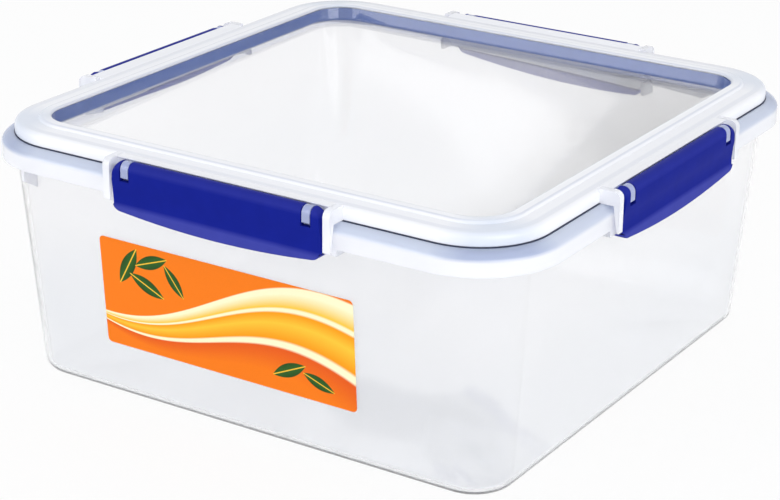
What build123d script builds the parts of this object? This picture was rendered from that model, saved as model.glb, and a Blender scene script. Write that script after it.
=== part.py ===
from build123d import *
import os

# Square food storage box: a tapered clear tub, a clear lid with a soft seal, and four
# side clips that hinge on the lid and hook under the flange of the tub.
# Millimetres. Origin at the middle of the base, +Z up. The label is on the -Y side.

# Plan of the lid edge, which every ring is measured from
LID_HALF = 124.0
LID_CORNER = 30.6

# Tub
TUB_HEIGHT = 106.0
WALL = 1.8
FLOOR = 2.2
WALL_INSET = 2.2
TAPER = 7.6
RIM_CORNER = 22.0
BASE_CORNER = 18.0
BASE_ROUND = 5.0
FLANGE_OVERHANG = 5.6
FLANGE_THICKNESS = 1.8
FLANGE_FALL = 2.2
SKIRT_DEPTH = 9.4
SKIRT_THICKNESS = 1.6
CATCH_DEPTH = 12.2
CATCH_OVERRUN = 4.8
RIB_THICKNESS = 1.6
CORNER_RIB_DEPTH = 14.4
CORNER_RIB_DROP = 4.6

# Lid
LID_GAP = 0.35
LID_WALL = 1.8
LID_RISE = 5.6
LID_EDGE_ROUND = 2.4
RIDGE_RISE = 1.2
RIDGE_WIDTH = 4.6
MARGIN_WIDTH = 10.6
PANEL_DEPTH = 6.7
RECESS_DRAFT = 0.8
LIP_RISE = 0.6
LIP_REACH = 2.0
LIP_CLEARANCE = 0.4
CHEEK_THICKNESS = 3.2
CHEEK_CLEARANCE = 0.6
CHEEK_DEPTH = 10.5
CHEEK_TIP = 0.8

# Seal
SEAL_GAP = 0.1
SEAL_CLEARANCE = 0.2
SEAL_OUTER_INSET = 2.2
SEAL_LEG = 2.2
SEAL_LEG_REACH = 2.9
SEAL_CREST = 1.6

# Clips
CLIP_LENGTH = 100.0
CLIP_END_INSET = 2.0
CLIP_SKIN = 2.4
CLIP_CLEARANCE = 0.8
BARREL_RADIUS = 3.2
PIN_RADIUS = 1.5
PIN_CLEARANCE = 0.06
PIN_RISE = 2.9
CLIP_REACH = 5.2
HOOK_CLEARANCE = 0.4
CLIP_DROP = 5.8
CLIP_BOW = 3.2
CLIP_CORNER = 4.0
CLIP_TOP_CORNER = 3.4
CLIP_EDGE_ROUND = 1.2

# Knuckles of the lid and the notches that they show through
KNUCKLE_INWARD = 7.0
KNUCKLE_THICKNESS = 3.6
KNUCKLE_RADIUS = 4.4
KNUCKLE_INSET = 0.2
NOTCH_CLEARANCE = 0.5
NOTCH_DEPTH = 7.9
NOTCH_ROUND = 0.8

# Label
LABEL_LEFT = 68.0
LABEL_RIGHT = 55.4
LABEL_LOW = 24.6
LABEL_HEIGHT = 48.0
LABEL_THICKNESS = 0.25
LABEL_CORNER = 2.0

# Cutting shapes reach this far past what they cut
PAST = 1.0

# Worked-out sizes
STRAIGHT = LID_HALF - LID_CORNER
RIM_HALF = LID_HALF - WALL_INSET
BASE_HALF = RIM_HALF - TAPER
FLANGE_HALF = LID_HALF + FLANGE_OVERHANG
SKIRT_INNER = FLANGE_HALF - SKIRT_THICKNESS
SKIRT_BOTTOM = TUB_HEIGHT - SKIRT_DEPTH
CATCH_BOTTOM = TUB_HEIGHT - CATCH_DEPTH
CATCH_HALF_LENGTH = CLIP_LENGTH / 2 + CATCH_OVERRUN
RIB_PLACE = CATCH_HALF_LENGTH - RIB_THICKNESS / 2
CORNER_RIB_PLACE = RIM_HALF - RIM_CORNER
LID_LOW = TUB_HEIGHT + LID_GAP
MARGIN_TOP = TUB_HEIGHT + LID_RISE
RIDGE_TOP = MARGIN_TOP + RIDGE_RISE
PANEL_TOP = RIDGE_TOP - PANEL_DEPTH
PANEL_BOTTOM = PANEL_TOP - LID_WALL
RIDGE_OUTER = LID_HALF - MARGIN_WIDTH
RIDGE_INNER = RIDGE_OUTER - RIDGE_WIDTH
PANEL_HALF = RIDGE_INNER - RECESS_DRAFT
CLIP_INNER = FLANGE_HALF + CLIP_CLEARANCE
CLIP_FACE = CLIP_INNER + CLIP_SKIN
PIN_HALF = CLIP_FACE - BARREL_RADIUS
PIN_Z = TUB_HEIGHT + PIN_RISE
CLIP_TOP = PIN_Z + BARREL_RADIUS
HOOK_TOP = CATCH_BOTTOM - HOOK_CLEARANCE
CLIP_BOTTOM = CATCH_BOTTOM - CLIP_DROP
LIP_TOP = MARGIN_TOP + LIP_RISE
CHEEK_INNER = CLIP_LENGTH / 2 + CHEEK_CLEARANCE
KNUCKLE_PLACE = CLIP_LENGTH / 2 - KNUCKLE_INWARD
NOTCH_WIDTH = KNUCKLE_THICKNESS + 2 * NOTCH_CLEARANCE

SIDES = {"right": 0, "back": 90, "left": 180, "front": 270}


def wall_half(z):
    """Half-width of the outside of the tub at a height."""
    return BASE_HALF + TAPER * z / TUB_HEIGHT


def tapered_block(low, high):
    """A block between two rounded squares, each given as half-width, corner and height."""
    sections = []
    for half, corner, z in (low, high):
        sections.append(Pos(0, 0, z) * RectangleRounded(2 * half, 2 * half, corner))
    return loft(sections, ruled=True)


def section(points, rounds):
    """A face in the XZ plane from (half-width, height) points, some corners rounded."""
    face = Plane.XZ * make_face(Polyline(*points, close=True))
    for index, radius in rounds.items():
        x, z = points[index]
        corner = face.vertices().sort_by_distance((x, 0, z))[0]
        face = fillet(corner, radius)
    return face


def around(face):
    """Carry a section of the +X side around the rounded square of the lid edge."""
    side = extrude(face, STRAIGHT, both=True)
    bend = Pos(STRAIGHT, STRAIGHT, 0) * revolve(Pos(-STRAIGHT, 0, 0) * face, Axis.Z, 90)
    ring = None
    for turn in SIDES.values():
        quarter = Rot(0, 0, turn) * (side + bend)
        ring = quarter if ring is None else ring + quarter
    return ring


def on_each_side(shape):
    """Four copies of a shape made for the +X side."""
    copies = None
    for turn in SIDES.values():
        copy = Rot(0, 0, turn) * shape
        copies = copy if copies is None else copies + copy
    return copies


def side_box(half_range, along_range, z_range):
    """A box on the +X side between two half-widths, two places along it and two heights."""
    size = [high - low for low, high in (half_range, along_range, z_range)]
    middle = [(high + low) / 2 for low, high in (half_range, along_range, z_range)]
    return Pos(*middle) * Box(*size)


# Tub

def tub_wall():
    """Tapered wall and floor with rounded lower edges."""
    outer = tapered_block((BASE_HALF, BASE_CORNER, 0), (RIM_HALF, RIM_CORNER, TUB_HEIGHT))
    outer = fillet(outer.faces().sort_by(Axis.Z)[0].edges(), BASE_ROUND)
    rise = TUB_HEIGHT + PAST
    low = (wall_half(FLOOR) - WALL, BASE_CORNER - WALL, FLOOR)
    high = (wall_half(rise) - WALL, RIM_CORNER - WALL, rise)
    hollow = tapered_block(low, high)
    hollow = fillet(hollow.faces().sort_by(Axis.Z)[0].edges(), BASE_ROUND - WALL)
    return outer - hollow


def tub_flange():
    """Flange that falls away past the lid edge and turns down into a skirt."""
    inner = RIM_HALF - WALL + TAPER * FLANGE_THICKNESS / TUB_HEIGHT
    underside = TUB_HEIGHT - FLANGE_THICKNESS
    shoulder = TUB_HEIGHT - FLANGE_FALL
    bend_out = LID_HALF + WALL
    face = section([
        (inner, TUB_HEIGHT),
        (bend_out, TUB_HEIGHT),
        (FLANGE_HALF, shoulder),
        (FLANGE_HALF, SKIRT_BOTTOM),
        (SKIRT_INNER, SKIRT_BOTTOM),
        (SKIRT_INNER, shoulder - WALL / 2),
        (bend_out - WALL / 2, underside),
        (inner, underside),
    ], {2: SKIRT_THICKNESS, 5: SKIRT_THICKNESS / 4})
    return around(face)


def tub_catches():
    """Deeper stretch of skirt at the middle of each side, for the hooks of the clips."""
    along = (-CATCH_HALF_LENGTH, CATCH_HALF_LENGTH)
    overlap = SKIRT_BOTTOM + WALL
    return on_each_side(side_box((SKIRT_INNER, FLANGE_HALF), along, (CATCH_BOTTOM, overlap)))


def rib(skirt_end, wall_end):
    """Rib from the wall to the skirt, given the heights where it ends on each."""
    root = wall_half(wall_end) - WALL / 2
    reach = SKIRT_INNER + SKIRT_THICKNESS / 2
    top = SKIRT_BOTTOM + WALL
    face = Plane.XZ * make_face(Polyline(
        (root, wall_end),
        (reach, skirt_end),
        (reach, top),
        (root, top),
        close=True,
    ))
    return extrude(face, RIB_THICKNESS / 2, both=True)


def tub_ribs():
    """Ribs that close both ends of every catch, and a deeper one at two opposite corners."""
    end = rib(CATCH_BOTTOM, CATCH_BOTTOM)
    corner_low = TUB_HEIGHT - CORNER_RIB_DEPTH
    corner = Pos(0, -CORNER_RIB_PLACE, 0) * rib(corner_low, corner_low - CORNER_RIB_DROP)
    ribs = on_each_side(Pos(0, RIB_PLACE, 0) * end + Pos(0, -RIB_PLACE, 0) * end)
    return ribs + Rot(0, 0, SIDES["front"]) * corner + Rot(0, 0, SIDES["back"]) * corner


def tub():
    return tub_wall() + tub_flange() + tub_catches() + tub_ribs()


# Lid

def lid_shell():
    """Outer edge, margin, raised ridge and the wall down to the panel, around the box."""
    slope = LID_WALL / 2
    face = section([
        (LID_HALF, LID_LOW),
        (LID_HALF, MARGIN_TOP),
        (RIDGE_OUTER + slope, MARGIN_TOP),
        (RIDGE_OUTER, RIDGE_TOP),
        (RIDGE_INNER, RIDGE_TOP),
        (PANEL_HALF, PANEL_TOP),
        (PANEL_HALF, PANEL_BOTTOM),
        (PANEL_HALF + LID_WALL, PANEL_BOTTOM),
        (RIDGE_INNER + LID_WALL, RIDGE_TOP - LID_WALL),
        (RIDGE_OUTER - slope, RIDGE_TOP - LID_WALL),
        (RIDGE_OUTER, MARGIN_TOP - LID_WALL),
        (LID_HALF - LID_WALL, MARGIN_TOP - LID_WALL),
        (LID_HALF - LID_WALL, LID_LOW),
    ], {1: LID_EDGE_ROUND, 3: slope, 4: slope, 11: LID_EDGE_ROUND - LID_WALL})
    return around(face)


def lid_panel():
    """Flat panel, let down inside the ridge."""
    half = PANEL_HALF + LID_WALL / 2
    corner = LID_CORNER - (LID_HALF - half)
    return Pos(0, 0, PANEL_BOTTOM) * extrude(RectangleRounded(2 * half, 2 * half, corner), LID_WALL)


def pin_cylinder(radius, length):
    """Cylinder about the pin of the clip on the +X side."""
    return Pos(PIN_HALF, 0, PIN_Z) * Rot(90, 0, 0) * Cylinder(radius, length)


def knuckle():
    """Plate on the lid edge with a long round end, bored for the pin of a clip."""
    root = LID_HALF - LID_WALL / 2
    radius = BARREL_RADIUS - KNUCKLE_INSET
    across = (-KNUCKLE_THICKNESS / 2, KNUCKLE_THICKNESS / 2)
    neck = side_box((root, PIN_HALF), across, (LID_LOW, PIN_Z + radius / 2))
    below = side_box((FLANGE_HALF + LID_GAP, PIN_HALF + radius), across, (PIN_Z - KNUCKLE_RADIUS, PIN_Z))
    below &= pin_cylinder(KNUCKLE_RADIUS, KNUCKLE_THICKNESS)
    bore = pin_cylinder(PIN_RADIUS + PIN_CLEARANCE, KNUCKLE_THICKNESS + 2 * PAST)
    return neck + pin_cylinder(radius, KNUCKLE_THICKNESS) + below - bore


def lip():
    """Strip of the lid edge that reaches over the barrel of a clip, hollowed to clear it."""
    root = LID_HALF - LID_WALL / 2
    crest = LID_HALF - LID_EDGE_ROUND
    tip = PIN_HALF - LIP_REACH
    inside = MARGIN_TOP - LID_WALL / 2
    face = section([
        (root, LID_LOW),
        (tip, LID_LOW),
        (tip, LIP_TOP),
        (LID_HALF, LIP_TOP),
        (crest, MARGIN_TOP),
        (crest, inside),
        (root, inside),
    ], {})
    strip = extrude(face, CHEEK_INNER + PAST, both=True)
    return strip - pin_cylinder(BARREL_RADIUS + LIP_CLEARANCE, 2 * CHEEK_INNER)


def cheek():
    """Fin of the lid that stands beside the end of a clip and comes down outside the skirt."""
    root = LID_HALF - LID_WALL / 2
    face_side = CLIP_FACE - KNUCKLE_INSET
    tip = TUB_HEIGHT - CHEEK_DEPTH
    face = section([
        (root, LID_LOW),
        (FLANGE_HALF + LID_GAP, LID_LOW),
        (face_side - CHEEK_TIP, tip),
        (face_side, tip),
        (face_side, LIP_TOP),
        (root, LIP_TOP),
    ], {4: BARREL_RADIUS})
    return extrude(face, CHEEK_THICKNESS / 2, both=True)


def lid():
    place = CHEEK_INNER + CHEEK_THICKNESS / 2
    fittings = lip() + Pos(0, place, 0) * cheek() + Pos(0, -place, 0) * cheek()
    fittings += Pos(0, KNUCKLE_PLACE, 0) * knuckle() + Pos(0, -KNUCKLE_PLACE, 0) * knuckle()
    return lid_shell() + lid_panel() + on_each_side(fittings)


# Seal

def seal():
    """Soft ring in the channel of the lid: pad on the rim, leg in the tub, crest in the ridge."""
    top = MARGIN_TOP - LID_WALL - SEAL_CLEARANCE
    crest = RIDGE_TOP - LID_WALL - SEAL_CLEARANCE
    pad_bottom = TUB_HEIGHT + SEAL_GAP
    leg_bottom = TUB_HEIGHT - SEAL_LEG_REACH
    outer = LID_HALF - SEAL_OUTER_INSET
    leg_inner = RIDGE_INNER + LID_WALL + SEAL_CLEARANCE
    face = section([
        (outer, top),
        (leg_inner + SEAL_CREST, top),
        (leg_inner + SEAL_CREST, crest),
        (leg_inner, crest),
        (leg_inner, leg_bottom),
        (leg_inner + SEAL_LEG, leg_bottom),
        (leg_inner + SEAL_LEG, pad_bottom),
        (outer, pad_bottom),
    ], {4: SEAL_LEG / 4, 5: SEAL_LEG / 4, 0: LID_EDGE_ROUND - LID_WALL})
    return around(face)


# Clips

def clip_section():
    """Hook, skin and round top of a clip, all along its length."""
    along = (-CLIP_LENGTH / 2, CLIP_LENGTH / 2)
    depth = (CLIP_FACE - CLIP_REACH, CLIP_FACE)
    skin = side_box((CLIP_INNER, CLIP_FACE), along, (CLIP_BOTTOM, PIN_Z))
    hook = side_box(depth, along, (CLIP_BOTTOM, HOOK_TOP))
    barrel = pin_cylinder(BARREL_RADIUS, CLIP_LENGTH)
    barrel &= side_box(depth, along, (PIN_Z - BARREL_RADIUS, CLIP_TOP))
    return skin + hook + barrel


def clip_outline():
    """Face view of a clip as a prism: bowed lower edge, bowed ends and a soft outer rim."""
    end = CLIP_LENGTH / 2 - CLIP_END_INSET
    low = CLIP_BOTTOM + CLIP_BOW
    waist = (CLIP_LENGTH / 2, (CLIP_TOP + low) / 2)
    edges = [
        ThreePointArc((-end, low), (0, CLIP_BOTTOM), (end, low)),
        ThreePointArc((end, low), waist, (end, CLIP_TOP)),
        Line((end, CLIP_TOP), (-end, CLIP_TOP)),
        ThreePointArc((-end, CLIP_TOP), (-waist[0], waist[1]), (-end, low)),
    ]
    face = make_face(edges)
    upper = face.vertices().filter_by(lambda vertex: vertex.Y > waist[1])
    face = fillet(upper, CLIP_TOP_CORNER)
    lower = face.vertices().filter_by(lambda vertex: vertex.Y < low + PAST)
    face = fillet(lower, CLIP_CORNER)
    prism = extrude(Plane.YZ.offset(LID_HALF) * face, CLIP_FACE - LID_HALF)
    return fillet(prism.faces().sort_by(Axis.X)[-1].edges(), CLIP_EDGE_ROUND)


def notch():
    """Slot with rounded lower corners, cut down from the top of a clip."""
    across = (-NOTCH_WIDTH / 2, NOTCH_WIDTH / 2)
    slot = side_box((LID_HALF, CLIP_FACE + PAST), across, (CLIP_TOP - NOTCH_DEPTH, CLIP_TOP + PAST))
    return fillet(slot.edges().filter_by(Axis.X).group_by(Axis.Z)[0], NOTCH_ROUND)


def clip():
    """One clip on the +X side, closed, with a pin across each notch."""
    body = clip_section() & clip_outline()
    pin_length = NOTCH_WIDTH + 2 * PAST
    for place in (-KNUCKLE_PLACE, KNUCKLE_PLACE):
        body -= Pos(0, place, 0) * notch()
        body += Pos(0, place, 0) * pin_cylinder(PIN_RADIUS, pin_length)
    return body


# Label

def label():
    """Thin skin on the front wall, following its slope."""
    low = LABEL_LOW
    high = LABEL_LOW + LABEL_HEIGHT
    face = Plane.XZ * make_face(Polyline(
        (wall_half(low), low),
        (wall_half(low) + LABEL_THICKNESS, low),
        (wall_half(high) + LABEL_THICKNESS, high),
        (wall_half(high), high),
        close=True,
    ))
    length = LABEL_LEFT + LABEL_RIGHT
    middle = (LABEL_RIGHT - LABEL_LEFT) / 2
    skin = Pos(0, middle, 0) * extrude(face, length / 2, both=True)
    depth = RIM_HALF - BASE_HALF + LABEL_THICKNESS + PAST
    outline = Plane.YZ.offset(BASE_HALF) * (
        Pos(middle, (low + high) / 2) * RectangleRounded(length, LABEL_HEIGHT, LABEL_CORNER)
    )
    return Rot(0, 0, SIDES["front"]) * (skin & extrude(outline, depth))


def write(shape, node):
    export_step(shape, "parts/" + node + ".step")


os.makedirs("parts", exist_ok=True)
write(tub(), "tub")
write(lid(), "lid")
write(seal(), "seal")
write(label(), "label")
closed_clip = clip()
for side, turn in SIDES.items():
    write(Rot(0, 0, turn) * closed_clip, "clip_" + side)
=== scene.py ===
import math

import bmesh
import bpy
from mathutils import Matrix, Vector


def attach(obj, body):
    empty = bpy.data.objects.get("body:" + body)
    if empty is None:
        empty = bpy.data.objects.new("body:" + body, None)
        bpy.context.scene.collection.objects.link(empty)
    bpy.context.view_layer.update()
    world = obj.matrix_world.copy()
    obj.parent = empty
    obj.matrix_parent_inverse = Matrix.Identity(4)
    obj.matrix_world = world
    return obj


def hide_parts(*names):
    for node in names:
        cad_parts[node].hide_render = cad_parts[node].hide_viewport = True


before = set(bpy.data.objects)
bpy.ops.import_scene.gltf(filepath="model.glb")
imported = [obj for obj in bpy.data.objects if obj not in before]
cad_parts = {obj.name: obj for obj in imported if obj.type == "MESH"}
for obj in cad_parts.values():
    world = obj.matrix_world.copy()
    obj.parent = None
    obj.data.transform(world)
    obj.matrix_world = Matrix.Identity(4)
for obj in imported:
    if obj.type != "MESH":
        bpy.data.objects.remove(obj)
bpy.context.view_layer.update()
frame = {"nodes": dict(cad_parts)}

bl_info = {
    "name": "Clip-lock storage box",
    "version": (1, 0, 0),
    "blender": (4, 5, 0),
    "location": "View3D > Sidebar > Storage Box",
    "description": "Square clear storage box with a sealed lid and four hinged clips",
    "category": "Object",
}

MM = 0.001
SIDES = (("right", 0), ("back", 90), ("left", 180), ("front", 270))
CORNER_STEPS = 14
EDGE_STEPS = 4
SHARP_ANGLE = 32
POLYPROPYLENE_IOR = 1.49


def hex_colour(code):
    """Linear colour of an sRGB hex value."""
    channels = [int(code[at:at + 2], 16) / 255 for at in (0, 2, 4)]
    return [c / 12.92 if c <= 0.04045 else ((c + 0.055) / 1.055) ** 2.4 for c in channels]


def length(name, description, millimetres):
    return bpy.props.FloatProperty(
        name=name, description=description, default=millimetres * MM, unit="LENGTH", precision=5)


def colour(name, description, code):
    return bpy.props.FloatVectorProperty(
        name=name, description=description, default=hex_colour(code), size=3,
        min=0.0, max=1.0, subtype="COLOR")


class StorageBoxSizes(bpy.types.PropertyGroup):
    tub_height: length("Tub height", "Height of the tub at its rim", 106.0)
    rim_half: length("Rim half-width", "Half the width of the tub wall at the rim", 121.8)
    rim_corner: length("Rim corner", "Corner radius of the wall at the rim", 22.0)
    base_half: length("Base half-width", "Half the width of the tub wall at the base", 114.2)
    base_corner: length("Base corner", "Corner radius of the wall at the base", 18.0)
    base_edge: length("Base edge", "Rounding of the outer edge of the base", 5.0)
    wall: length("Wall", "Thickness of the tub wall, the flange and the lid", 1.8)
    floor: length("Floor", "Thickness of the tub floor", 2.2)
    flange_half: length("Flange half-width", "Half the width of the tub over its flange", 129.6)
    skirt: length("Skirt", "Thickness of the skirt under the flange", 1.6)
    skirt_drop: length("Skirt drop", "From the rim to the lower edge of the skirt", 9.4)
    catch_drop: length("Catch drop", "How far the skirt comes down further where a clip catches", 2.8)
    catch_past: length("Catch past clip", "How far a catch goes on past each end of its clip", 4.8)
    rib: length("Rib", "Thickness of the ribs under the flange", 1.6)
    lid_half: length("Lid half-width", "Half the width of the lid over its outer edge", 124.0)
    lid_corner: length("Lid corner", "Corner radius of the outer edge of the lid", 30.6)
    seam: length("Seam", "Gap between the rim and the lower edge of the lid", 0.35)
    margin_rise: length("Margin rise", "Height of the flat margin of the lid over the rim", 5.6)
    ridge_rise: length("Ridge rise", "Height of the ridge over the margin", 1.2)
    panel_drop: length("Panel drop", "Depth of the panel under the ridge", 6.7)
    clip_length: length("Clip length", "Length of a clip at its waist", 100.0)
    clip_face: length("Clip face", "Half-width of the outer face of a clip", 132.8)
    clip_skin: length("Clip skin", "Thickness of the face of a clip", 2.4)
    clip_reach: length("Clip reach", "Depth of a clip from its face to the tip of its hook", 5.2)
    clip_drop: length("Clip drop", "From the rim down to the lower edge of a clip", 17.3)
    hook_drop: length("Hook drop", "From the rim down to the top of the hook of a clip", 12.6)
    barrel: length("Clip barrel", "Radius of the round top of a clip", 3.2)
    pin_rise: length("Pin rise", "Height of the hinge pin over the rim", 2.9)
    pin_radius: length("Pin radius", "Radius of the hinge pins", 1.5)
    notch_depth: length("Notch depth", "From the top of a clip to the floor of its notches", 7.9)
    notch_room: length("Notch room", "Room between a knuckle and each side of its notch", 0.5)
    knuckle_place: length("Knuckle place", "Distance of a knuckle from the middle of its side", 43.0)
    knuckle: length("Knuckle", "Thickness of the bored knuckles", 3.6)
    fin: length("Fin", "Thickness of the fins beside the clips", 3.2)
    label_left: length("Label left", "Left edge of the label, from the middle of the front", -68.0)
    label_right: length("Label right", "Right edge of the label, from the middle of the front", 55.4)
    label_low: length("Label low", "Height of the lower edge of the label", 24.6)
    label_high: length("Label high", "Height of the upper edge of the label", 72.6)


class StorageBoxColours(bpy.types.PropertyGroup):
    plastic: colour("Clear plastic", "Tint of the clear walls", "FDFDFE")
    # The low tint is painted shade: the walls turn slightly darker towards the base, for the shadowed floor
    # seen through them
    plastic_low_painted_shade: colour("Clear plastic, low", "Tint of the walls near the base", "F9FAFC")
    flange: colour("Flange", "Bluish top band of the flange", "D6DEEF")
    flange_corner: colour("Flange corners", "Top band of the flange at its thicker corners", "B9C4DF")
    skirt: colour("Skirt", "Nearly white skirt under the flange", "F6F7FB")
    frame: colour("Lid frame", "Milky rim and ridge of the lid", "F8F9FD")
    # Frame lines: a greyer tone painted on the lid frame as the shade in its folds and groove
    frame_fold_painted_shade: colour("Lid frame lines", "Milky rim over the folds of the lid", "DFE2EC")
    frame_corner: colour("Lid frame corners", "Milky rim at its thicker corners", "E2E8F3")
    knuckle: colour("Knuckles", "Bored plates that show through the notches", "BCC6EA")
    seal: colour("Seal", "Soft seal of the lid", "5F73AA")
    # Seal edge: a dark colour painted on the outer lip of the seal as the shade in the seam between lid and
    # flange
    seal_edge_painted_shade: colour("Seal edge", "Outer lip of the seal, in the shade of the seam", "3A3F55")
    clip: colour("Clip", "Hinged clips", "172288")
    # Clip lip: a paler blue painted on the lower lip of a clip as sheen from the light it faces
    clip_lip_painted_sheen: colour("Clip lip", "Thinner and paler lower lip of a clip", "3E449F")
    label: colour("Label", "Ground of the label", "F57C16")
    label_deep: colour("Label deep orange", "Lower field of the label", "E35A1A")
    label_amber: colour("Label amber", "Middle of the ribbon", "F79A12")
    label_sun: colour("Label yellow", "Lighter bands of the ribbon", "FBC53A")
    label_cream: colour("Label cream", "Edges of the ribbon", "FFF6CC")
    label_leaf: colour("Label green", "Leaves of the label", "2F5F26")


def sizes():
    return bpy.context.scene.storage_box_sizes


def colours():
    return bpy.context.scene.storage_box_colours


# Places that several pieces share

def wall_half(z):
    """Half-width of the outside of the tub wall at a height."""
    s = sizes()
    return s.base_half + (s.rim_half - s.base_half) * z / s.tub_height


def lid_corner(half):
    """Corner radius of a ring that keeps its distance from the lid edge."""
    s = sizes()
    return s.lid_corner - (s.lid_half - half)


def lid_low():
    """Height of the lower edge of the lid."""
    return sizes().tub_height + sizes().seam


def pin_centre():
    """Half-width and height of the hinge pins."""
    s = sizes()
    return s.clip_face - s.barrel, s.tub_height + s.pin_rise


def reach_of(point):
    """Half-width of the rounded square, with the proportions of the lid, that a point lies on."""
    s = sizes()
    straight = s.lid_half - s.lid_corner
    x, y = abs(point[0]) - straight, abs(point[1]) - straight
    return straight + (math.hypot(x, y) if x > 0 and y > 0 else max(x, y))


# Mesh helpers

def points_of(made):
    return [g for g in made["geom"] if isinstance(g, bmesh.types.BMVert)]


def round_corners(bm, verts, radius, steps):
    bmesh.ops.bevel(
        bm, geom=verts, offset=radius, offset_type="OFFSET", affect="VERTICES",
        segments=steps, profile=0.5, material=-1)


def turned(bm, verts, degrees):
    bmesh.ops.rotate(
        bm, verts=verts, cent=(0, 0, 0), matrix=Matrix.Rotation(math.radians(degrees), 3, "Z"))


def ring(bm, half, corner, z):
    """Edges of a rounded square in an empty mesh, with its middle on the Z axis."""
    made = bmesh.ops.create_grid(
        bm, x_segments=1, y_segments=1, size=half, matrix=Matrix.Translation((0, 0, z)))
    round_corners(bm, made["verts"], corner, CORNER_STEPS)
    face = max(bm.faces, key=lambda f: len(f.verts))
    edges = list(face.edges)
    bm.faces.remove(face)
    return edges


def resize(vert, row, goal):
    """Moves a point of one rounded square to its place on another."""
    for axis in range(2):
        side = math.copysign(1.0, vert.co[axis])
        turn = (abs(vert.co[axis]) - (row[0] - row[1])) / row[1]
        vert.co[axis] = side * (goal[0] - goal[1] + turn * goal[1])
    vert.co.z = goal[2]


def shell(bm, profile):
    """Carries a rounded square through a profile of half-width, corner, height and edge rounding."""
    rings = [ring(bm, *profile[0][:3])]
    for row, goal in zip(profile, profile[1:]):
        made = bmesh.ops.extrude_edge_only(bm, edges=rings[-1])
        for vert in points_of(made):
            resize(vert, row, goal)
        rings.append([g for g in made["geom"] if isinstance(g, bmesh.types.BMEdge)])
    return rings


def round_rings(bm, rings, profile):
    """Rounds the rings whose profile row names a rounding."""
    for edges, (_, _, _, rounding) in zip(rings, profile):
        if rounding:
            alive = [e for e in edges if e.is_valid]
            bmesh.ops.bevel(
                bm, geom=alive, offset=rounding, offset_type="OFFSET", affect="EDGES",
                segments=EDGE_STEPS, profile=0.5, material=-1, clamp_overlap=True, loop_slide=True)


def closed_shell(bm, profile):
    """A shell whose first and last rings are filled, with its edges rounded."""
    rings = shell(bm, profile)
    for edges in (rings[0], rings[-1]):
        bmesh.ops.contextual_create(bm, geom=edges)
    round_rings(bm, rings, profile)


def plate(bm, outline, place, thickness, degrees, rounding=0.0, corner=None):
    """A flat plate across the +X side from its (half-width, height) outline, turned to another side."""
    before = set(bm.verts)
    face = bm.faces.new([bm.verts.new((x, place - thickness / 2, z)) for x, z in outline])
    if rounding:
        round_corners(bm, [face.verts[corner]], rounding, 5)
    face = [f for f in bm.faces if not before.intersection(f.verts)]
    made = bmesh.ops.extrude_face_region(bm, geom=face)
    bmesh.ops.translate(bm, verts=points_of(made), vec=(0, thickness, 0))
    turned(bm, [v for v in bm.verts if v not in before], degrees)


def arc(centre, radius, start, end, steps):
    """Points of an arc in a side's (half-width, height) plane, in degrees from straight outwards."""
    angles = [math.radians(start + (end - start) * k / steps) for k in range(steps + 1)]
    return [(centre[0] + radius * math.cos(a), centre[1] + radius * math.sin(a)) for a in angles]


def finish_mesh(bm, name, materials, body, node, sharp_angle=SHARP_ANGLE):
    """Turns a bmesh into a piece of the object that stands for its CAD node."""
    bmesh.ops.remove_doubles(bm, verts=bm.verts, dist=1e-7)
    bmesh.ops.recalc_face_normals(bm, faces=bm.faces)
    mesh = bpy.data.meshes.new(name)
    bm.to_mesh(mesh)
    bm.free()
    mesh.shade_smooth()
    mesh.set_sharp_from_angle(angle=math.radians(sharp_angle))
    piece = bpy.data.objects.new(name, mesh)
    bpy.context.scene.collection.objects.link(piece)
    for material in materials:
        mesh.materials.append(material)
    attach(piece, body)
    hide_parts(node)


# Material helpers

def add(tree, kind, inputs=None, **settings):
    """Adds a node. Settings are its own attributes, and inputs are values or the sockets that feed it."""
    new = tree.nodes.new(kind)
    stops = settings.pop("stops", None)
    for name, value in settings.items():
        setattr(new, name, value)
    if stops:
        ramp = new.color_ramp.elements
        while len(ramp) < len(stops):
            ramp.new(1.0)
        for element, (place, shade) in zip(ramp, stops):
            element.position = place
            element.color = (*shade, 1.0)
    for name, value in (inputs or {}).items():
        if isinstance(value, bpy.types.NodeSocket):
            tree.links.new(value, new.inputs[name])
        else:
            new.inputs[name].default_value = value
    return new


def new_material(name):
    """A material with an empty node tree, and the socket of its Object coordinates."""
    material = bpy.data.materials.new(name)
    material.use_nodes = True
    tree = material.node_tree
    tree.nodes.clear()
    return material, tree, add(tree, "ShaderNodeTexCoord").outputs["Object"]


def scale_of(millimetres):
    """Scale of a noise whose features are this wide."""
    return 1 / (millimetres * MM)


def height_share(tree, place, low, high):
    """Socket that goes from 0 to 1 between two heights."""
    height = add(tree, "ShaderNodeSeparateXYZ", {"Vector": place}).outputs["Z"]
    return add(tree, "ShaderNodeMapRange", {
        "Value": height, "From Min": low, "From Max": high}).outputs["Result"]


def finish_plastic(tree, place, tone, clearness, roughness):
    """Surface of moulded polypropylene: faint flow ripples, and a shadow that lets lamps through."""
    flow = add(tree, "ShaderNodeTexNoise", {"Vector": place, "Scale": scale_of(26.316), "Detail": 1.0})
    ripple = add(tree, "ShaderNodeBump", {
        "Height": flow.outputs["Fac"], "Strength": 0.05, "Distance": 0.4 * MM})
    shader = add(tree, "ShaderNodeBsdfPrincipled", {
        "Base Color": tone, "Roughness": roughness, "IOR": POLYPROPYLENE_IOR,
        "Transmission Weight": clearness, "Normal": ripple.outputs["Normal"]})
    passing = add(tree, "ShaderNodeBsdfTransparent", {"Color": tone})
    ray = add(tree, "ShaderNodeLightPath")
    mix = add(tree, "ShaderNodeMixShader", {
        0: ray.outputs["Is Shadow Ray"], 1: shader.outputs["BSDF"], 2: passing.outputs["BSDF"]})
    add(tree, "ShaderNodeOutputMaterial", {"Surface": mix.outputs["Shader"]})


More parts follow.
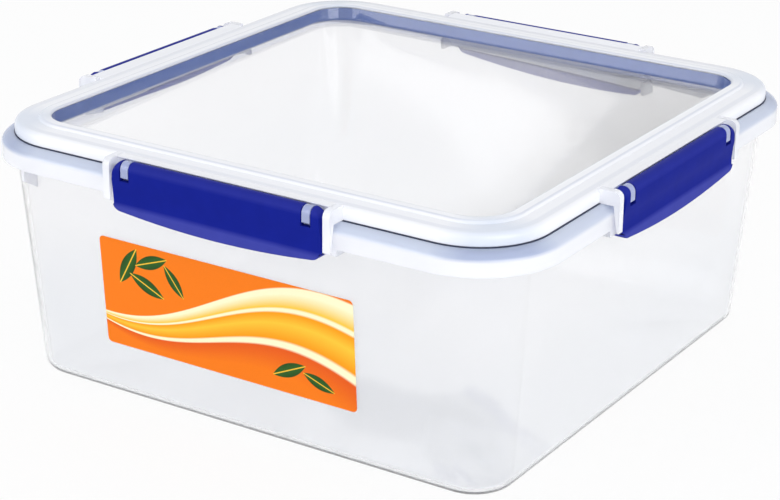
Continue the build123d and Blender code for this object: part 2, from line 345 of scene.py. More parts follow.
def finish_opaque(tree, tone, height, strength, distance, roughness, ior, specular):
    """Surface of a plastic or rubber that lets no light through, with a fine bump."""
    bump = add(tree, "ShaderNodeBump", {"Height": height, "Strength": strength, "Distance": distance})
    shader = add(tree, "ShaderNodeBsdfPrincipled", {
        "Base Color": tone, "Roughness": roughness, "IOR": ior, "Specular IOR Level": specular,
        "Normal": bump.outputs["Normal"]})
    add(tree, "ShaderNodeOutputMaterial", {"Surface": shader.outputs["BSDF"]})


def corner_offset(tree, place):
    """Socket with how far a point lies past the straight part of each side of the lid."""
    straight = sizes().lid_half - sizes().lid_corner
    out = add(tree, "ShaderNodeVectorMath", {0: place}, operation="ABSOLUTE").outputs[0]
    out = add(tree, "ShaderNodeVectorMath", {
        0: out, 1: (straight, straight, 1.0)}, operation="SUBTRACT").outputs[0]
    return add(tree, "ShaderNodeVectorMath", {0: out, 1: (0.0, 0.0, 0.0)}, operation="MAXIMUM").outputs[0]


def towards_corners(tree, out, tone, corner_tone):
    """Socket with a tone that turns into another where the moulding is thicker, at the corners."""
    sides = add(tree, "ShaderNodeSeparateXYZ", {"Vector": out})
    corner = add(tree, "ShaderNodeMath", {
        0: sides.outputs["X"], 1: sides.outputs["Y"]}, operation="MINIMUM")
    share = add(tree, "ShaderNodeMapRange", {
        "Value": corner.outputs[0], "From Min": 0.0, "From Max": 14 * MM})
    return add(tree, "ShaderNodeMix", {
        "Factor": share.outputs["Result"], 6: tone, 7: (*corner_tone, 1.0)}, data_type="RGBA").outputs[2]


# Materials

def plastic(name, tint, clearness, roughness, low_shade_tint=None):
    """Moulded polypropylene, from clear to milky. Lamps shine through it, so its own shadow is pale."""
    material, tree, place = new_material(name)
    tone = (*tint, 1.0)
    # Walls darker towards the base, as painted shade of the shadowed floor seen through them
    if low_shade_tint:
        rim = sizes().tub_height
        tone = add(tree, "ShaderNodeValToRGB", {
            "Fac": height_share(tree, place, 0.35 * rim, 0.7 * rim)}, stops=[
            (0.0, list(low_shade_tint)), (1.0, list(tint))]).outputs["Color"]
    finish_plastic(tree, place, tone, clearness, roughness)
    return material


def milky_flange():
    """Milky polypropylene of the flange: a bluish band on top, bluer at the corners, over a white skirt."""
    material, tree, place = new_material("Milky_polypropylene_flange")
    tint, rim = colours(), sizes().tub_height
    band = towards_corners(tree, corner_offset(tree, place), (*tint.flange, 1.0), tint.flange_corner)
    rise = height_share(tree, place, rim - 3.8 * MM, rim - 2.4 * MM)
    tone = add(tree, "ShaderNodeMix", {
        "Factor": rise, 6: (*tint.skirt, 1.0), 7: band}, data_type="RGBA").outputs[2]
    finish_plastic(tree, place, tone, 0.35, 0.15)
    return material


def milky_rim():
    """Milky polypropylene of the lid frame, thicker at the corners, with painted shade in greyer bands where
    it folds down.
    """
    material, tree, place = new_material("Milky_polypropylene_rim")
    tint, straight = colours(), sizes().lid_half - sizes().lid_corner
    frame_tone, line = list(tint.frame), list(tint.frame_fold_painted_shade)
    soft = [(f + g) / 2 for f, g in zip(frame_tone, line)]
    # half-widths in millimetres where the tone of the frame changes; the greyer bands are painted shade at
    # the folds of the ridge and in the groove near the edge
    bands = (
        (107.0, frame_tone), (108.5, frame_tone), (108.9, line), (109.3, line), (109.8, frame_tone),
        (112.4, frame_tone), (112.9, line), (113.3, line), (113.8, frame_tone), (118.4, frame_tone),
        (119.4, soft), (121.2, soft), (122.0, frame_tone))
    low, high = 107.0, 125.0
    out = corner_offset(tree, place)
    reach = add(tree, "ShaderNodeVectorMath", {0: out}, operation="LENGTH").outputs["Value"]
    across = add(tree, "ShaderNodeMapRange", {
        "Value": reach, "From Min": low * MM - straight, "From Max": high * MM - straight})
    tone = add(tree, "ShaderNodeValToRGB", {"Fac": across.outputs["Result"]}, stops=[
        ((half - low) / (high - low), shade) for half, shade in bands]).outputs["Color"]
    finish_plastic(tree, place, towards_corners(tree, out, tone, tint.frame_corner), 0.1, 0.22)
    return material


def seal_rubber(name, base):
    """Soft moulded seal: satin, a little uneven in grains about a millimetre across."""
    material, tree, place = new_material(name)
    grain = add(tree, "ShaderNodeTexNoise", {"Vector": place, "Scale": scale_of(1.1111), "Detail": 3.0})
    tone = add(tree, "ShaderNodeValToRGB", {"Fac": grain.outputs["Fac"]}, stops=[
        (0.3, [c * 0.85 for c in base]), (0.7, [min(1.0, c * 1.1) for c in base])])
    finish_opaque(tree, tone.outputs["Color"], grain.outputs["Fac"], 0.2, 0.1 * MM, 0.45, 1.43, 0.3)
    return material


def clip_plastic():
    """Moulded polypropylene in royal blue, even and soft in its gloss, with a painted sheen on the lower lip
    and a painted highlight along the top.
    """
    material, tree, place = new_material("Moulded_blue_polypropylene")
    rim = sizes().tub_height
    grain = add(tree, "ShaderNodeTexNoise", {"Vector": place, "Scale": scale_of(8.3333), "Detail": 2.0})
    base, lip = list(colours().clip), list(colours().clip_lip_painted_sheen)
    # A paler strip along the top of the clip, painted as a highlight on its round barrel
    top = [b + (c - b) * 0.3 for b, c in zip(base, lip)]
    # Ramp over height: painted sheen on the lower lip, plain blue in the middle, painted highlight at the
    # top
    tone = add(tree, "ShaderNodeValToRGB", {
        "Fac": height_share(tree, place, rim - 18.0 * MM, rim + 6.0 * MM)}, stops=[
        (0.0, lip), (0.2, lip), (0.29, base), (0.84, base), (0.92, top)])
    shade = add(tree, "ShaderNodeMapRange", {"Value": grain.outputs["Fac"], "To Min": 0.9, "To Max": 1.08})
    tone = add(tree, "ShaderNodeVectorMath", {
        0: tone.outputs["Color"], 1: shade.outputs["Result"]}, operation="MULTIPLY").outputs[0]
    finish_opaque(tree, tone, grain.outputs["Fac"], 0.08, 0.2 * MM, 0.3, POLYPROPYLENE_IOR, 0.01)
    return material


# leaves of the label: place along it, height, lean in degrees and half-length, in millimetres
LEAVES = (
    (-54, 62, 60, 10), (-42, 66, 20, 9), (-45, 55, -25, 9.5), (-31, 60, -55, 8), (24, 35, 25, 9),
    (38, 33, -20, 8))


def label_film():
    """Printed polypropylene film: an orange ground, a ribbon that widens to the right, and leaves."""
    material, tree, place = new_material("Printed_label_film")
    spot = add(tree, "ShaderNodeSeparateXYZ", {"Vector": place})
    tone = ribbon(tree, spot)
    for leaf in LEAVES:
        tone = printed_leaf(tree, place, tone, *leaf)
    # ink lies a little unevenly on the film, in grains about half a millimetre across
    ink = add(tree, "ShaderNodeTexNoise", {"Vector": place, "Scale": scale_of(0.5), "Detail": 1.0})
    grain = add(tree, "ShaderNodeMapRange", {"Value": ink.outputs["Fac"], "To Min": 0.96, "To Max": 1.02})
    tone = add(tree, "ShaderNodeVectorMath", {
        0: tone, 1: grain.outputs["Result"]}, operation="MULTIPLY").outputs[0]
    finish_opaque(tree, tone, ink.outputs["Fac"], 0.05, 0.05 * MM, 0.35, POLYPROPYLENE_IOR, 0.12)
    return material


def ribbon(tree, spot):
    """Socket with the printed ground and ribbon, whose middle line is a slow wave."""
    tint = colours()
    turn = add(tree, "ShaderNodeMath", {0: spot.outputs["X"], 1: 36.0, 2: 0.45}, operation="MULTIPLY_ADD")
    sway = add(tree, "ShaderNodeMath", {0: turn.outputs[0]}, operation="SINE")
    middle = add(tree, "ShaderNodeMath", {
        0: sway.outputs[0], 1: 11.0 * MM, 2: 47.0 * MM}, operation="MULTIPLY_ADD")
    off = add(tree, "ShaderNodeMath", {0: spot.outputs["Z"], 1: middle.outputs[0]}, operation="SUBTRACT")
    width = add(tree, "ShaderNodeMapRange", {
        "Value": spot.outputs["X"], "From Min": -68.0 * MM, "From Max": 56.0 * MM,
        "To Min": 2.0 * MM, "To Max": 17.0 * MM})
    share = add(tree, "ShaderNodeMath", {0: off.outputs[0], 1: width.outputs["Result"]}, operation="DIVIDE")
    across = add(tree, "ShaderNodeMapRange", {"Value": share.outputs[0], "From Min": -2.0, "From Max": 2.0})
    ground, deep = list(tint.label), list(tint.label_deep)
    cream, sun, amber = list(tint.label_cream), list(tint.label_sun), list(tint.label_amber)
    return add(tree, "ShaderNodeValToRGB", {"Fac": across.outputs["Result"]}, stops=[
        (0.0, ground), (0.23, deep), (0.25, cream), (0.29, cream), (0.31, amber), (0.45, sun),
        (0.54, amber), (0.555, cream), (0.575, cream), (0.59, sun), (0.70, cream), (0.745, cream),
        (0.755, ground)]).outputs["Color"]


def printed_leaf(tree, place, tone, along, up, lean, half_length):
    """Socket with one pointed leaf and its vein printed over a tone."""
    tint = colours()
    flat = add(tree, "ShaderNodeMapping", {
        "Vector": place, "Location": (along * MM, 0.0, up * MM),
        "Rotation": (0.0, math.radians(-lean), 0.0),
        "Scale": (half_length * MM, 1.0, 0.34 * half_length * MM)}, vector_type="TEXTURE")
    leaf = add(tree, "ShaderNodeSeparateXYZ", {"Vector": flat.outputs["Vector"]})
    square = add(tree, "ShaderNodeMath", {
        0: leaf.outputs["X"], 1: leaf.outputs["X"]}, operation="MULTIPLY")
    side = add(tree, "ShaderNodeMath", {0: leaf.outputs["Z"]}, operation="ABSOLUTE")
    used = add(tree, "ShaderNodeMath", {0: square.outputs[0], 1: side.outputs[0]}, operation="ADD")
    inside = add(tree, "ShaderNodeMapRange", {"Value": used.outputs[0], "From Min": 1.0, "From Max": 0.94})
    sun = list(tint.label_sun)
    vein = add(tree, "ShaderNodeValToRGB", {"Fac": side.outputs[0]}, stops=[
        (0.0, sun), (0.05, sun), (0.10, list(tint.label_leaf)), (1.0, [c * 0.6 for c in tint.label_leaf])])
    return add(tree, "ShaderNodeMix", {
        "Factor": inside.outputs["Result"], 6: tone, 7: vein.outputs["Color"]}, data_type="RGBA").outputs[2]


# Pieces

class STORAGEBOX_OT_tub(bpy.types.Operator):
    """Clear tub: tapered wall, rounded base, flange with a skirt, catches and ribs"""
    bl_idname = "storage_box.tub"
    bl_label = "Tub"

    def execute(self, context):
        s = sizes()
        bm = bmesh.new()
        skirt_low = s.tub_height - s.skirt_drop
        closed_shell(bm, self.profile(skirt_low))
        self.catches(bm, skirt_low)
        self.ribs(bm, skirt_low - s.catch_drop)
        tint = colours()
        walls = plastic("Clear_polypropylene_wall", tint.plastic, 0.9, 0.03, tint.plastic_low_painted_shade)
        bm.normal_update()
        for face in bm.faces:
            middle = face.calc_center_median()
            past_wall = reach_of(middle) > s.rim_half + 0.5 * MM
            face.material_index = int(middle.z > skirt_low - 3.0 * MM and past_wall)
        finish_mesh(bm, "tub_wall_and_flange", [walls, milky_flange()], "tub", "tub")
        return {"FINISHED"}

    def profile(self, skirt_low):
        """Rings from the base up the outside, round the flange and down the inside."""
        s = sizes()
        rim = s.tub_height
        under = rim - s.wall
        inner = s.flange_half - s.skirt
        bend = s.lid_half + s.wall
        bend_in = bend - 0.9 * MM
        return [
            (s.base_half, s.base_corner, 0.0, s.base_edge),
            (wall_half(under), s.rim_corner, under, 0.6 * MM),
            (bend_in, lid_corner(bend_in), under, 0.0),
            (inner, lid_corner(inner), under - 1.3 * MM, 0.4 * MM),
            (inner, lid_corner(inner), skirt_low, 0.0),
            (s.flange_half, lid_corner(s.flange_half), skirt_low, 0.0),
            (s.flange_half, lid_corner(s.flange_half), rim - 2.2 * MM, 1.6 * MM),
            (bend, lid_corner(bend), rim, 0.0),
            (s.rim_half - s.wall, s.rim_corner - s.wall, rim, 0.6 * MM),
            (wall_half(s.floor) - s.wall, s.base_corner - s.wall, s.floor, 3.2 * MM),
        ]

    def catch_end(self):
        return sizes().clip_length / 2 + sizes().catch_past

    def catches(self, bm, skirt_low):
        """Brings the lower edge of the skirt down along each clip."""
        end = self.catch_end()
        for axis in range(2):
            for place in (-end, end):
                where, facing = Vector((0, 0, 0)), Vector((0, 0, 0))
                where[axis], facing[axis] = place, 1.0
                bmesh.ops.bisect_plane(
                    bm, geom=bm.verts[:] + bm.edges[:] + bm.faces[:], plane_co=where, plane_no=facing)
        bm.normal_update()
        drops = []
        for face in bm.faces:
            middle = face.calc_center_median()
            level = max(abs(v.co.z - skirt_low) for v in face.verts) < 1e-5
            if level and min(abs(middle.x), abs(middle.y)) < end:
                drops.append(face)
        made = bmesh.ops.extrude_face_region(bm, geom=drops)
        bmesh.ops.delete(bm, geom=[f for f in drops if f.is_valid], context="FACES")
        bmesh.ops.translate(bm, verts=points_of(made), vec=(0, 0, -sizes().catch_drop))

    def ribs(self, bm, catch_low):
        """Ribs that close the ends of the catches, and a deeper one at two opposite corners."""
        s = sizes()
        rim = s.tub_height
        place = self.catch_end() - s.rib / 2
        for side, turn in SIDES:
            for at in (-place, place):
                self.rib(bm, catch_low, catch_low, at, turn)
            if side in ("front", "back"):
                self.rib(bm, rim - 14.4 * MM, rim - 19.0 * MM, s.rim_corner - s.rim_half, turn)

    def rib(self, bm, skirt_end, wall_end, place, turn):
        """A rib between wall and skirt, from the heights where it ends on each."""
        s = sizes()
        root = wall_half(wall_end) - 0.3 * MM
        tip = s.flange_half - s.skirt + 0.2 * MM
        top = s.tub_height - 7.6 * MM
        plate(bm, [(root, wall_end), (tip, skirt_end), (tip, top), (root, top)], place, s.rib, turn)


class STORAGEBOX_OT_lid(bpy.types.Operator):
    """Lid: clear let-down panel in a milky frame, with the lips, knuckles and fins of the clips"""
    bl_idname = "storage_box.lid"
    bl_label = "Lid"

    def execute(self, context):
        s = sizes()
        margin = s.tub_height + s.margin_rise
        ridge = margin + s.ridge_rise
        ridge_in = s.lid_half - 15.2 * MM
        bm = bmesh.new()
        closed_shell(bm, self.profile(margin, ridge, ridge_in))
        for face in bm.faces:
            middle = face.calc_center_median()
            reach = reach_of(middle)
            on_top = reach > ridge_in - 0.2 * MM and middle.z > ridge - 0.9 * MM
            face.material_index = int(on_top or reach > ridge_in + s.wall + 0.2 * MM)
        before = set(bm.faces)
        for number, make in enumerate((self.lips, self.knuckles, self.fins), 1):
            make(bm)
            for face in set(bm.faces) - before:
                face.material_index = number
            before = set(bm.faces)
        tint = colours()
        materials = [
            plastic("Clear_polypropylene_panel", tint.plastic, 1.0, 0.02),
            milky_rim(),
            plastic("Milky_polypropylene_knuckle", tint.knuckle, 0.4, 0.1),
            plastic("Milky_polypropylene_fin", tint.frame, 0.35, 0.25),
        ]
        finish_mesh(bm, "lid_shell", materials, "lid", "lid")
        return {"FINISHED"}

    def profile(self, margin, ridge, ridge_in):
        """Rings from under the panel out to the edge and back over the ridge."""
        s = sizes()
        panel = ridge - s.panel_drop
        ridge_out, drop = s.lid_half - 10.6 * MM, s.lid_half - 16.0 * MM
        rows = [
            (drop + s.wall, panel - s.wall, 0.5 * MM),
            (ridge_in + s.wall, ridge - s.wall, 0.3 * MM),
            (ridge_out - 0.9 * MM, ridge - s.wall, 0.0),
            (ridge_out, margin - s.wall, 0.0),
            (s.lid_half - s.wall, margin - s.wall, 0.6 * MM),
            (s.lid_half - s.wall, lid_low(), 0.3 * MM),
            (s.lid_half, lid_low(), 0.5 * MM),
            (s.lid_half, margin, 2.4 * MM),
            (ridge_out + 0.9 * MM, margin, 0.0),
            (ridge_out, ridge, 0.8 * MM),
            (ridge_in, ridge, 0.8 * MM),
            (drop, panel, 0.5 * MM),
        ]
        return [(half, lid_corner(half), z, rounding) for half, z, rounding in rows]

    def lips(self, bm):
        """Strips of the lid edge that reach over the barrels of the clips."""
        s = sizes()
        pin = pin_centre()
        low, margin = lid_low(), s.tub_height + s.margin_rise
        top = margin + 0.6 * MM
        root, bend, tip = s.lid_half - 0.9 * MM, s.lid_half - 2.4 * MM, pin[0] - 2.0 * MM
        hollow = arc(pin, s.barrel + 0.4 * MM, 225, 123.8, 10)
        lip = [(root, low), *hollow, (tip, top), (s.lid_half, top), (bend, margin),
               (bend, margin - 0.9 * MM), (root, margin - 0.9 * MM)]
        for _, turn in SIDES:
            plate(bm, lip, 0.0, s.clip_length + 1.6 * MM, turn)

    def fins(self, bm):
        """Fins beside the ends of the clips, which come down outside the skirt of the tub."""
        s = sizes()
        low, top, fin_low = lid_low(), s.tub_height + 6.2 * MM, s.tub_height - 10.5 * MM
        root, outside = s.lid_half - 0.9 * MM, s.clip_face - 0.2 * MM
        fin = [(root, low), (s.flange_half + 0.35 * MM, low), (outside - 0.8 * MM, fin_low),
               (outside, fin_low), (outside, top), (root, top)]
        middle = s.clip_length / 2 + 2.2 * MM
        for _, turn in SIDES:
            for place in (-middle, middle):
                plate(bm, fin, place, s.fin, turn, rounding=2.9 * MM, corner=4)

    def knuckles(self, bm):
        """Bored plates with a long round end, which show through the notches of the clips."""
        s = sizes()
        pin = pin_centre()
        root = s.lid_half - 0.5 * MM
        radius = s.barrel - 0.2 * MM
        outline = [(root, lid_low()), (s.flange_half + 0.35 * MM, lid_low()),
                   *arc(pin, 4.4 * MM, -85.4, -47.0, 6), *arc(pin, radius, 0, 150, 10),
                   (root, pin[1] + radius / 2)]
        for _, turn in SIDES:
            for place in (-s.knuckle_place, s.knuckle_place):
                near = place - s.knuckle / 2
                verts = [bm.verts.new((x, near, z)) for x, z in outline]
                edges = [bm.edges.new(pair) for pair in zip(verts, verts[1:] + verts[:1])]
                bore = bmesh.ops.create_circle(
                    bm, cap_ends=False, segments=24, radius=s.pin_radius + 0.06 * MM,
                    matrix=Matrix.Translation((pin[0], near, pin[1])) @ Matrix.Rotation(math.pi / 2, 4, "X"))
                edges += dict.fromkeys(e for v in bore["verts"] for e in v.link_edges)
                filled = bmesh.ops.triangle_fill(bm, use_beauty=True, edges=edges)["geom"]
                flat = [g for g in filled if isinstance(g, bmesh.types.BMFace)]
                far = points_of(bmesh.ops.extrude_face_region(bm, geom=flat))
                bmesh.ops.translate(bm, verts=far, vec=(0, s.knuckle, 0))
                turned(bm, verts + bore["verts"] + far, turn)


class STORAGEBOX_OT_seal(bpy.types.Operator):
    """Soft seal in the channel of the lid"""
    bl_idname = "storage_box.seal"
    bl_label = "Seal"

    def execute(self, context):
        s = sizes()
        rim = s.tub_height
        top, low, leg, crest = rim + 3.6 * MM, rim + 0.1 * MM, rim - 2.9 * MM, rim + 4.8 * MM
        outer, leg_in = s.lid_half - 2.2 * MM, s.lid_half - 13.2 * MM
        crest_out, leg_out = leg_in + 1.6 * MM, leg_in + 2.2 * MM
        lip, lip_low, lip_top = s.lid_half + 0.3 * MM, rim + 0.06 * MM, rim + 0.33 * MM
        rows = [
            (lip, lip_low, 0.0),
            (lip, lip_top, 0.0),
            (outer, lip_top, 0.0),
            (outer, top, 0.6 * MM),
            (crest_out, top, 0.2 * MM),
            (crest_out, crest, 0.3 * MM),
            (leg_in, crest, 0.3 * MM),
            (leg_in, leg, 0.6 * MM),
            (leg_out, leg, 0.6 * MM),
            (leg_out, low, 0.3 * MM),
            (outer, low, 0.0),
        ]
        profile = [(half, lid_corner(half), z, rounding) for half, z, rounding in rows]
        bm = bmesh.new()
        rings = shell(bm, profile + profile[:1])
        bmesh.ops.remove_doubles(bm, verts=bm.verts, dist=1e-7)
        round_rings(bm, rings, profile)
        for face in bm.faces:
            # Faces of the outer lip take the dark seal edge colour, which is painted shade of the seam
            face.material_index = int(reach_of(face.calc_center_median()) > s.lid_half - 1.0 * MM)
        rubbers = [seal_rubber("Moulded_soft_seal", colours().seal),
                   seal_rubber("Seal_lip_painted_seam_shade", colours().seal_edge_painted_shade)]
        finish_mesh(bm, "seal_ring", rubbers, "lid", "seal")
        return {"FINISHED"}


def fall(along, start, depth):
    """How far a rounded end has fallen back at a place along it, from 0 to 1."""
    share = max(0.0, (along - start) / depth)
    return 1 - math.sqrt(max(0.0, 1 - share ** 2))


class STORAGEBOX_OT_clips(bpy.types.Operator):
    """Four blue clips with a round top, two notches, a pin in each and a hook"""
    bl_idname = "storage_box.clips"
    bl_label = "Clips"

    def execute(self, context):
        blue = clip_plastic()
        for side, turn in SIDES:
            bm = bmesh.new()
            self.clip(bm)
            turned(bm, bm.verts[:], turn)
            node = "clip_" + side
            finish_mesh(bm, node + "_moulding", [blue], node, node, 35)
        return {"FINISHED"}

    def heights(self):
        """Heights of the top, the floor of the notches, the top of the hook and the lower edge."""
        s = sizes()
        top = pin_centre()[1] + s.barrel
        return top, top - s.notch_depth, s.tub_height - s.hook_drop, s.tub_height - s.clip_drop

    def section(self):
        """Outline across a clip as (half-width, height), and the roundings of its corners in mm."""
        s = sizes()
        pin = pin_centre()
        top, notch_floor, hook_top, low = self.heights()
        face, inside, tip = s.clip_face, s.clip_face - s.clip_skin, s.clip_face - s.clip_reach
        waist = face - 0.8 * MM
        outline = [
            (face, top), (face, notch_floor), (waist, hook_top + 6.0 * MM), (waist, hook_top + 2.0 * MM),
            (face + 0.1 * MM, low), (tip, low), (tip, hook_top), (inside, hook_top),
            (inside, notch_floor), (inside, pin[1] - 2.6 * MM), (tip, pin[1] - 2.4 * MM),
            (tip, pin[1] + 2.5 * MM), (pin[0] - 1.0 * MM, pin[1] + 3.04 * MM),
        ]
        return outline, {0: 3.1, 2: 2.0, 3: 1.8, 4: 0.9, 5: 0.6, 6: 0.6, 7: 0.8, 10: 0.3, 11: 0.3}

    def clip(self, bm):
        """A clip on the +X side: three stretches joined under the notches, bowed below, and its pins."""
        s = sizes()
        pin = pin_centre()
        notch = s.knuckle / 2 + s.notch_room
        inner, outer, end = s.knuckle_place - notch, s.knuckle_place + notch, s.clip_length / 2 - 2.0 * MM
        middle = [inner * k / 6 for k in range(-6, 7)]
        tail = [outer + step * MM for step in (0, 0.6, 1.1, 1.6, 2.0, 2.3, 2.55)] + [end]
        ends = [self.stretch(bm, stations) for stations in ([-y for y in reversed(tail)], middle, tail)]
        for near, far in ((ends[0][1], ends[1][0]), (ends[1][1], ends[2][0])):
            self.bridge(bm, near, far)
        for vert in bm.verts:
            self.bow(vert, outer, end)
        for place in (-s.knuckle_place, s.knuckle_place):
            bmesh.ops.create_cone(
                bm, cap_ends=True, segments=20, radius1=s.pin_radius, radius2=s.pin_radius,
                depth=notch * 2 + 1.0 * MM,
                matrix=Matrix.Translation((pin[0], place, pin[1])) @ Matrix.Rotation(math.pi / 2, 4, "X"))

    def stretch(self, bm, stations):
        """Carries the section through its stations, and returns the faces at its two ends."""
        outline, roundings = self.section()
        verts = [bm.verts.new((x, stations[0], z)) for x, z in outline]
        bm.faces.new(verts)
        for index, radius in roundings.items():
            round_corners(bm, [verts[index]], radius * MM, 8 if radius > 2 else 3)
        start = [f for f in bm.faces if max(abs(v.co.y - stations[0]) for v in f.verts) < 1e-7][-1]
        last = start
        for y0, y1 in zip(stations, stations[1:]):
            grown = bmesh.ops.extrude_face_region(bm, geom=[last])
            if last is not start:
                bm.faces.remove(last)
            last = [g for g in grown["geom"] if isinstance(g, bmesh.types.BMFace)][0]
            bmesh.ops.translate(bm, verts=last.verts[:], vec=(0, y1 - y0, 0))
        return start, last

    def bridge(self, bm, near, far):
        """Joins two stretches by the part of their ends that is under the notch."""
        notch_floor = self.heights()[1]
        loops = []
        for flat in (near, far):
            pair = [v for v in flat.verts if abs(v.co.z - notch_floor) < 1e-6]
            cut = bmesh.ops.connect_verts(bm, verts=pair)["edges"][0]
            lower = min(cut.link_faces, key=lambda f: f.calc_center_median().z)
            loops += lower.edges[:]
            bm.faces.remove(lower)
        bmesh.ops.bridge_loops(bm, edges=loops)

    def bow(self, vert, outer, end):
        """Bows the lower edge, rounds the corners of the ends, and lets the ends bulge at the waist."""
        top, notch_floor, hook_top, low = self.heights()
        low_radius, top_run, top_fall, bulge = 2.4 * MM, 3.0 * MM, 3.2 * MM, 1.4 * MM
        along = abs(vert.co.y)
        if vert.co.z < hook_top + 1e-6:
            rise = 2.9 * MM * (along / end) ** 2 + low_radius * fall(along, end - low_radius, low_radius)
            share = (hook_top - vert.co.z) / (hook_top - low)
            low_here = low + rise
            top_here = max(hook_top, low_here + 0.8 * MM)
            vert.co.z = top_here + (low_here - top_here) * share
        if vert.co.z > notch_floor:
            drop = top_fall * fall(along, end - top_run, top_run)
            vert.co.z -= drop * (vert.co.z - notch_floor) / (top - notch_floor)
        if along > outer:
            waist = 1 - ((vert.co.z - (top + low) / 2) / ((top - low) / 2)) ** 2
            vert.co.y += math.copysign((along - outer) / (end - outer) * bulge * waist, vert.co.y)


class STORAGEBOX_OT_label(bpy.types.Operator):
    """Film label on the front wall"""
    bl_idname = "storage_box.label"
    bl_label = "Label"

    def execute(self, context):
        s = sizes()
        low, high, left, right = s.label_low, s.label_high, s.label_left, s.label_right
        sunk, film = 0.02 * MM, 0.23 * MM
        lean = math.atan2(wall_half(high) - wall_half(low), high - low)
        middle = (low + high) / 2
        bm = bmesh.new()
        made = bmesh.ops.create_grid(bm, x_segments=1, y_segments=1, size=0.5)
        bmesh.ops.scale(bm, verts=made["verts"], vec=(right - left, (high - low) / math.cos(lean), 1))
        round_corners(bm, made["verts"], 2.0 * MM, 8)
        bmesh.ops.rotate(
            bm, verts=bm.verts, cent=(0, 0, 0), matrix=Matrix.Rotation(math.pi / 2 + lean, 3, "X"))
        bmesh.ops.translate(bm, verts=bm.verts, vec=((left + right) / 2, -wall_half(middle) - sunk, middle))
        far = points_of(bmesh.ops.extrude_face_region(bm, geom=bm.faces[:]))
        bmesh.ops.translate(bm, verts=far, vec=(0, -film, 0))
        finish_mesh(bm, "label_film", [label_film()], "tub", "label")
        return {"FINISHED"}


# Stage

LAMPS = (
    # name, place, side of the square and power
    ("Key_panel", (-0.6, -1.1, 0.5), 1.0, 5.0),
    ("Side_panel", (1.2, -0.5, 0.45), 1.0, 7.0),
    ("Top_panel", (0.0, 0.3, 1.3), 1.2, 0.5),
)
WHITE = (1.0, 1.0, 1.0, 1.0)


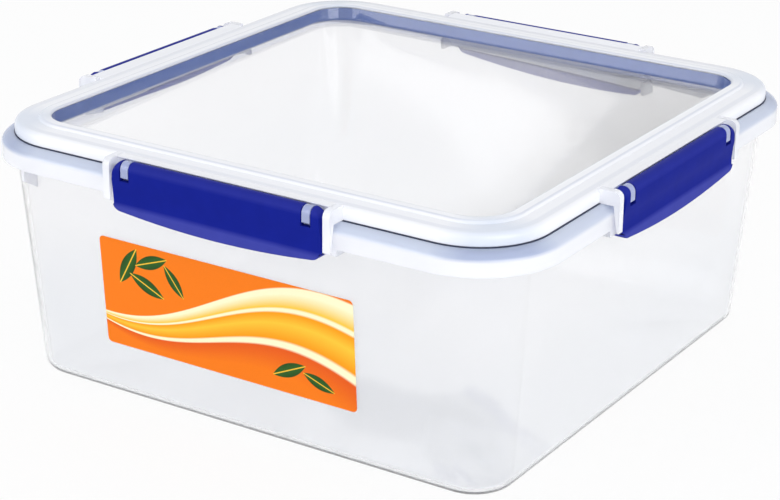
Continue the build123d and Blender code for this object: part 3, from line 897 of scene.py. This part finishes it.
class STORAGEBOX_OT_stage(bpy.types.Operator):
    """Floor, lamps, world and camera"""
    bl_idname = "storage_box.stage"
    bl_label = "Stage"

    def execute(self, context):
        scene = context.scene
        self.floor(scene)
        self.world(scene)
        for lamp in LAMPS:
            self.lamp(scene, *lamp)
        self.camera(scene)
        scene.view_settings.view_transform = "Standard"
        return {"FINISHED"}

    def floor(self, scene):
        """White floor that keeps a pale shadow of the box."""
        bm = bmesh.new()
        bmesh.ops.create_grid(bm, x_segments=2, y_segments=2, size=6.0)
        mesh = bpy.data.meshes.new("Floor")
        bm.to_mesh(mesh)
        bm.free()
        floor = bpy.data.objects.new("Floor", mesh)
        floor.location.z = -0.2 * MM
        scene.collection.objects.link(floor)
        material = bpy.data.materials.new("White_paper_floor")
        material.use_nodes = True
        tree = material.node_tree
        tree.nodes.clear()
        paper = add(tree, "ShaderNodeBsdfDiffuse", {"Color": (0.92, 0.92, 0.92, 1.0)})
        white = add(tree, "ShaderNodeEmission", {"Color": WHITE, "Strength": 1.0})
        backdrop = add(tree, "ShaderNodeMath", {0: self.seen_directly(tree), 1: 0.9}, operation="MULTIPLY")
        mix = add(tree, "ShaderNodeMixShader", {
            0: backdrop.outputs[0], 1: paper.outputs["BSDF"], 2: white.outputs["Emission"]})
        add(tree, "ShaderNodeOutputMaterial", {"Surface": mix.outputs["Shader"]})
        mesh.materials.append(material)

    def seen_directly(self, tree):
        """Socket that is 1 for what the camera sees, straight or through and in clear plastic."""
        ray = add(tree, "ShaderNodeLightPath").outputs
        near = add(tree, "ShaderNodeMath", {
            0: ray["Is Camera Ray"], 1: ray["Is Glossy Ray"]}, operation="MAXIMUM")
        far = add(tree, "ShaderNodeMath", {
            0: near.outputs[0], 1: ray["Is Transmission Ray"]}, operation="MAXIMUM")
        return far.outputs[0]

    def world(self, scene):
        """Soft light from all round, which the camera sees as plain white."""
        world = bpy.data.worlds.new("White_studio")
        world.use_nodes = True
        scene.world = world
        tree = world.node_tree
        tree.nodes.clear()
        soft = add(tree, "ShaderNodeBackground", {"Color": (0.97, 0.98, 1.0, 1.0), "Strength": 0.76})
        white = add(tree, "ShaderNodeBackground", {"Color": WHITE, "Strength": 1.0})
        mix = add(tree, "ShaderNodeMixShader", {
            0: self.seen_directly(tree), 1: soft.outputs[0], 2: white.outputs[0]})
        add(tree, "ShaderNodeOutputWorld", {"Surface": mix.outputs["Shader"]})

    def lamp(self, scene, name, place, side, power):
        """Square panel lamp that faces the box."""
        lamp = bpy.data.lights.new(name, "AREA")
        lamp.shape = "SQUARE"
        lamp.size = side
        lamp.energy = power
        stand = bpy.data.objects.new(name, lamp)
        stand.location = place
        aim = Vector((0, 0, 0.05)) - Vector(place)
        stand.rotation_euler = aim.to_track_quat("-Z", "Y").to_euler()
        scene.collection.objects.link(stand)

    def camera(self, scene):
        """Camera fitted to the view of the photograph."""
        data = bpy.data.cameras.new("Photo_view")
        data.sensor_width = 36.0
        data.lens = 102.167
        data.shift_x = -0.0120
        data.shift_y = -0.0192
        data.clip_start = 0.01
        camera = bpy.data.objects.new("Photo_view", data)
        right = Vector((0.84177538, 0.53971021, 0.01127384))
        down = Vector((0.20372486, -0.29826721, -0.93248746))
        ahead = Vector((-0.49991038, 0.78724174, -0.36102638))
        turn = Matrix((right, -down, -ahead)).transposed().to_4x4()
        camera.matrix_world = Matrix.Translation((0.482388, -0.759647, 0.397458)) @ turn
        scene.collection.objects.link(camera)
        scene.camera = camera


STEPS = ("stage", "tub", "lid", "seal", "clips", "label")


class STORAGEBOX_PT_panel(bpy.types.Panel):
    """Buttons and settings of the storage box"""
    bl_idname = "STORAGEBOX_PT_panel"
    bl_label = "Storage Box"
    bl_space_type = "VIEW_3D"
    bl_region_type = "UI"
    bl_category = "Storage Box"

    def draw(self, context):
        for step in STEPS:
            self.layout.operator("storage_box." + step)
        for group in (context.scene.storage_box_sizes, context.scene.storage_box_colours):
            for name in group.__annotations__:
                self.layout.prop(group, name)


CLASSES = (
    StorageBoxSizes, StorageBoxColours, STORAGEBOX_OT_tub, STORAGEBOX_OT_lid, STORAGEBOX_OT_seal,
    STORAGEBOX_OT_clips, STORAGEBOX_OT_label, STORAGEBOX_OT_stage, STORAGEBOX_PT_panel,
)


def register():
    for one in CLASSES:
        bpy.utils.register_class(one)
    bpy.types.Scene.storage_box_sizes = bpy.props.PointerProperty(type=StorageBoxSizes)
    bpy.types.Scene.storage_box_colours = bpy.props.PointerProperty(type=StorageBoxColours)


def unregister():
    del bpy.types.Scene.storage_box_colours
    del bpy.types.Scene.storage_box_sizes
    for one in reversed(CLASSES):
        bpy.utils.unregister_class(one)


def main():
    register()
    for step in STEPS:
        getattr(bpy.ops.storage_box, step)()


if __name__ == "__main__":
    main()
